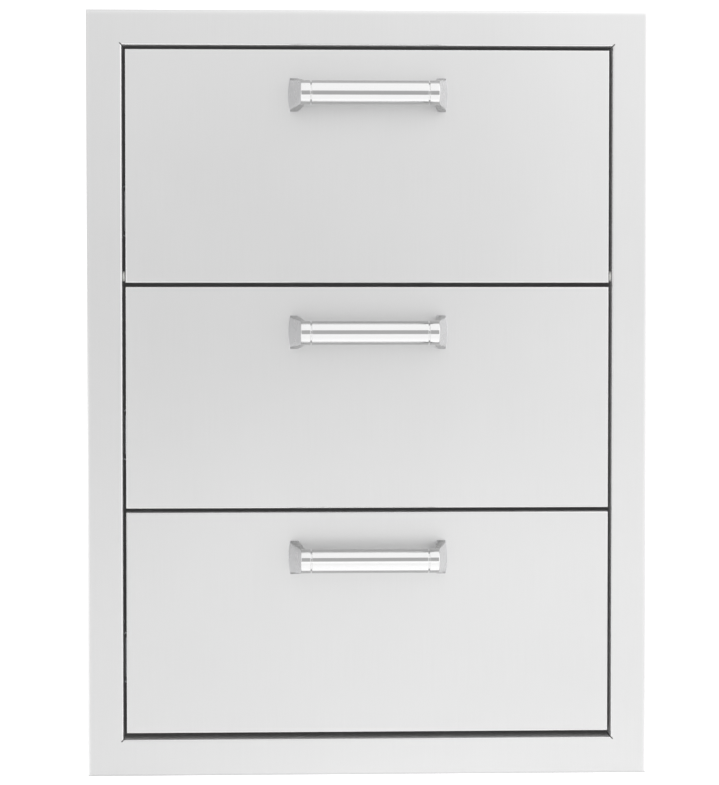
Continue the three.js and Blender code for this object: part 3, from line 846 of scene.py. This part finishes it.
def slide_fixings():
    """Rivets that hold each slide to the cabinet and to its tray, and screws in its drawer member."""
    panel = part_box("side_panel_right")[1].x
    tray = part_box("top_drawer_tray")[1].x - TRAY_SHEET
    rivet = domed_head("rivet", RIVET_RADIUS, RIVET_HEIGHT)
    fixings(copied(rivet, "outer_rivet"), "cabinet_rivet", panel, 1, "cabinet_member")
    fixings(rivet, "tray_rivet", tray, -1, "drawer_member")
    screw = screw_head("screw", PAN_HEAD_RADIUS, PAN_HEAD_HEIGHT)
    fixings(screw, "slide_screw", inward(1, DRAWER_WEB), 1, "drawer_member")


def handle_screws():
    """Screws behind each front, seen through the holes in its liner."""
    head = screw_head("handle_screw", HANDLE_SCREW_RADIUS, HANDLE_SCREW_HEIGHT)
    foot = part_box("top_handle_post_right")[1].x - HANDLE_SCREW_INSET
    turn = Matrix.Rotation(math.pi / 2, 4, "Z")
    for side_name, side in SIDES.items():
        for drawer in DRAWERS:
            low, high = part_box(f"{drawer}_handle_bar")
            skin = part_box(f"{drawer}_drawer_front")[0].y + FRONT_SHEET
            place = Matrix.Translation((side * foot, skin, (low.z + high.z) / 2))
            made = copied(head, f"{drawer}_handle_screw_{side_name}", place @ turn)
            finish_off(made, "screw", f"{drawer}_drawer")
    bpy.data.objects.remove(head)


def release_lever(side_name, side):
    """A plastic tongue in the drawer member, with a waist, a thumb pad and a pivot boss."""
    like = f"{side_name}_slide_drawer_member"
    low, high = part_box(f"top_{like}")
    x = inward(side, LEVER_FACE + LEVER_THICKNESS / 2)
    z = (low.z + high.z) / 2
    front = low.y + LEVER_START
    lever = start(
        f"top_{side_name}_release_lever",
        bpy.ops.mesh.primitive_cube_add,
        place=(x, front + LEVER_LENGTH / 2, z),
        size=(LEVER_THICKNESS / 2, LEVER_LENGTH / 2, LEVER_HEIGHT / 2),
    )
    with shaping(lever):
        pick("edges", runs_back)
        bpy.ops.mesh.subdivide(number_cuts=len(LEVER_HEIGHT_SHARES) - 2)
        step = LEVER_LENGTH / (len(LEVER_HEIGHT_SHARES) - 1)
        for i, (share, lift) in enumerate(LEVER_HEIGHT_SHARES):
            y = front + i * step
            pick("verts", lambda vert: abs(vert.co.y - y) < step / 4)
            bpy.ops.transform.resize(value=(1, 1, share), center_override=(x, y, z))
            bpy.ops.transform.translate(value=(0, 0, lift * LEVER_HEIGHT))
    apply_modifier(lever, "SUBSURF", levels=1, render_levels=1)
    apply_modifier(lever, "BEVEL", width=LEVER_EDGE, segments=LEVER_EDGE_STEPS, limit_method="ANGLE")
    for_each_drawer(lever, f"{side_name}_release_lever", like, "lever", "drawer")


def rail_end_shades():
    """Black blocks on the rails' ends, as painted shade in the side gaps."""
    low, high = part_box("divider_rail_upper")
    block = start(
        "end_shade",
        bpy.ops.mesh.primitive_cube_add,
        place=(0, -END_SHADE_THICKNESS / 2, 0),
        size=(END_SHADE_LENGTH / 2, END_SHADE_THICKNESS / 2, (high.z - low.z) / 2),
    )
    with shaping(block):
        pick("edges", both_ends(lambda end: end.y < -END_SHADE_THICKNESS / 2))
        bpy.ops.mesh.bevel(offset=END_SHADE_EDGE, segments=EDGE_STEPS, affect="EDGES")
    for rail in ("upper", "lower"):
        low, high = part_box(f"divider_rail_{rail}")
        for side_name, side in SIDES.items():
            place = Matrix.Translation((side * (high.x - END_SHADE_LENGTH / 2), low.y, (low.z + high.z) / 2))
            finish_off(copied(block, f"{rail}_rail_end_shade_{side_name}", place), "shade_black", "cabinet")
    bpy.data.objects.remove(block)


def corner_slit_shades():
    """A dark strip in the slit at each corner of the opening, as painted shade."""
    low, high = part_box("face_frame")
    front = low.y + SLIT_SHADE_SETBACK
    shade_strip = start(
        "slit_shade",
        bpy.ops.mesh.primitive_cube_add,
        place=((SLIT_SHADE_FROM + SLIT_SHADE_TO) / 2, front + SLIT_SHADE_DEPTH / 2, 0),
        size=((SLIT_SHADE_TO - SLIT_SHADE_FROM) / 2, SLIT_SHADE_DEPTH / 2, SLIT_SHADE_WIDTH / 2),
    )
    with shaping(shade_strip):
        pick("edges", both_ends(lambda end: end.y < front + SLIT_SHADE_EDGE))
        bpy.ops.mesh.bevel(offset=SLIT_SHADE_EDGE, segments=EDGE_STEPS, affect="EDGES")
    corners = {"lower": (-1, low.z + FLANGE_BELOW), "upper": (1, high.z - FLANGE_WIDTH)}
    for side_name, side in SIDES.items():
        for level, (rise, z) in corners.items():
            turn = Matrix.Rotation(-math.atan2(rise, side), 4, "Y")
            place = Matrix.Translation((side * (high.x - FLANGE_WIDTH), 0, z))
            finish_off(copied(shade_strip, f"{level}_corner_slit_shade_{side_name}", place @ turn), "shade_black", "cabinet")
    bpy.data.objects.remove(shade_strip)


# Studio: a white surround and floor, and a grey card and a film hung before the unit.
def studio():
    scene = bpy.context.scene
    scene.view_settings.view_transform = "Standard"
    scene.view_settings.use_curve_mapping = True
    scene.view_settings.curve_mapping.black_level = grey(BLACK_LIFT)
    scene.view_settings.curve_mapping.update()
    world = bpy.data.worlds.new("studio")
    scene.world = world
    surround = Tree(world)
    seen = surround.node("ShaderNodeLightPath", None, None, "Is Camera Ray")
    way = surround.node("ShaderNodeTexCoord", None, None, "Generated")
    across = surround.part(way, "X")
    level = SURROUND_LIGHT + across * SURROUND_LEAN + across * across * SURROUND_SIDES
    level = level - surround.mask(abs(surround.part(way, "Z")), SURROUND_DIP_HEIGHT, 0) * SURROUND_DIP
    level = level + seen * BACKDROP_GLOW
    surround.links.new(level.socket, surround.nodes["Background"].inputs["Strength"])
    surround.nodes["Background"].inputs["Color"].default_value = (1, 1, 1, 1)


def studio_floor():
    """A glowing floor, brighter to the camera and from just before the unit backwards."""
    floor = start(
        "studio_floor",
        bpy.ops.mesh.primitive_plane_add,
        place=(0, 0, 0),
        size=(FLOOR_SIZE / 2, FLOOR_SIZE / 2, 1),
    )
    white = {"Roughness": 0.9, "Base Color": (0.5, 0.5, 0.5, 1), "Emission Strength": 1}
    pale = Finish("studio_white", white)
    seen = pale.node("ShaderNodeLightPath", None, None, "Is Camera Ray")
    across = abs(pale.part(pale.place, "X") - FLOOR_NEAR_MIDDLE)
    near = pale.mask(across, FLOOR_NEAR_HALF, 0) * pale.mask(pale.part(pale.place, "Y"), FLOOR_NEAR_REACH, 0)
    level = FLOOR_GLOW + seen * FLOOR_BACKDROP_GLOW + near * FLOOR_NEAR_GLOW
    pale.drive("Emission Color", pale.tint(level, grey(0), grey(1)))
    floor.data.materials.append(pale.owner)


def hung_plane(name, place, width, height):
    """An upright plane before the unit, which the camera doesn't see."""
    size = (width / 2, height / 2, 1)
    plane = start(name, bpy.ops.mesh.primitive_plane_add, place, TO_FRONT, size)
    plane.visible_camera = False
    return plane


def grey_card():
    """A card for the steel to reflect, brighter along its foot."""
    card = hung_plane("studio_card", CARD_PLACE, CARD_WIDTH, CARD_HEIGHT)
    black = {"Base Color": (0, 0, 0, 1), "Specular IOR Level": 0, "Roughness": 1}
    glow = Finish("studio_grey", {**black, "Emission Strength": CARD_LIGHT})
    foot = CARD_PLACE[2] - CARD_HEIGHT / 2
    low = glow.mask(glow.part(glow.place, "Z"), foot + CARD_GRADED, foot)
    glow.drive("Emission Color", glow.tint(low, grey(1), grey(CARD_FOOT_GAIN)))
    card.data.materials.append(glow.owner)


def graded_fill(faces):
    """A clear film between the card and the unit: a graded light that only the satin faces receive."""
    film = hung_plane("studio_fill", FILL_PLACE, FILL_WIDTH, FILL_HEIGHT)
    film.visible_shadow = False
    fill = Finish("studio_fill", {})
    x, z = fill.part(fill.place, "X"), fill.part(fill.place, "Z")
    settings = {"operation": "COMPARE"}
    inside = fill.node("ShaderNodeMath", settings, {0: x, 1: CARD_PLACE[0], 2: CARD_WIDTH / 2})
    inside = inside * fill.node("ShaderNodeMath", settings, {0: z, 1: CARD_PLACE[2], 2: CARD_HEIGHT / 2})
    below = (FILL_LOW - z).at_least(0)
    above = (z - FILL_HIGH).at_least(0)
    right = x - FILL_PLACE[0]
    glow = inside * FILL_LIGHT + right * FILL_LEAN + above * FILL_HIGH_GAIN
    glow = glow + below * (right * FILL_LOW_LEAN + FILL_LOW_GAIN)
    clear = fill.node("ShaderNodeBsdfTransparent")
    light = fill.node("ShaderNodeEmission", None, {"Strength": glow})
    both = fill.node("ShaderNodeAddShader", None, {0: clear, 1: light})
    fill.links.new(both.socket, fill.nodes["Material Output"].inputs["Surface"])
    film.data.materials.append(fill.owner)
    lit = bpy.data.collections.new("satin_faces")
    for face in faces:
        lit.objects.link(face)
    film.light_linking.receiver_collection = lit


def photographer():
    lens = bpy.data.cameras.new("photographer")
    lens.lens = CAMERA_LENS
    camera = bpy.data.objects.new("photographer", lens)
    camera.location = CAMERA_PLACE
    camera.rotation_euler = (math.pi / 2 + CAMERA_PITCH, 0, CAMERA_YAW)
    bpy.context.scene.collection.objects.link(camera)
    bpy.context.scene.camera = camera


photographer()
studio()
studio_floor()
grey_card()
sheets = {name: smooth_sheet(name) for name in frame["nodes"] if not MADE_ANEW.search(name)}
graded_fill([sheet for name, sheet in sheets.items() if name == "face_frame" or name.endswith("_front")])
handle_bar()
for side_name, side in SIDES.items():
    handle_post(side_name, side)
    release_lever(side_name, side)
    for kind in ("cabinet", "drawer"):
        ball_cage(side_name, side, kind)
handle_screws()
slide_fixings()
rail_end_shades()
corner_slit_shades()
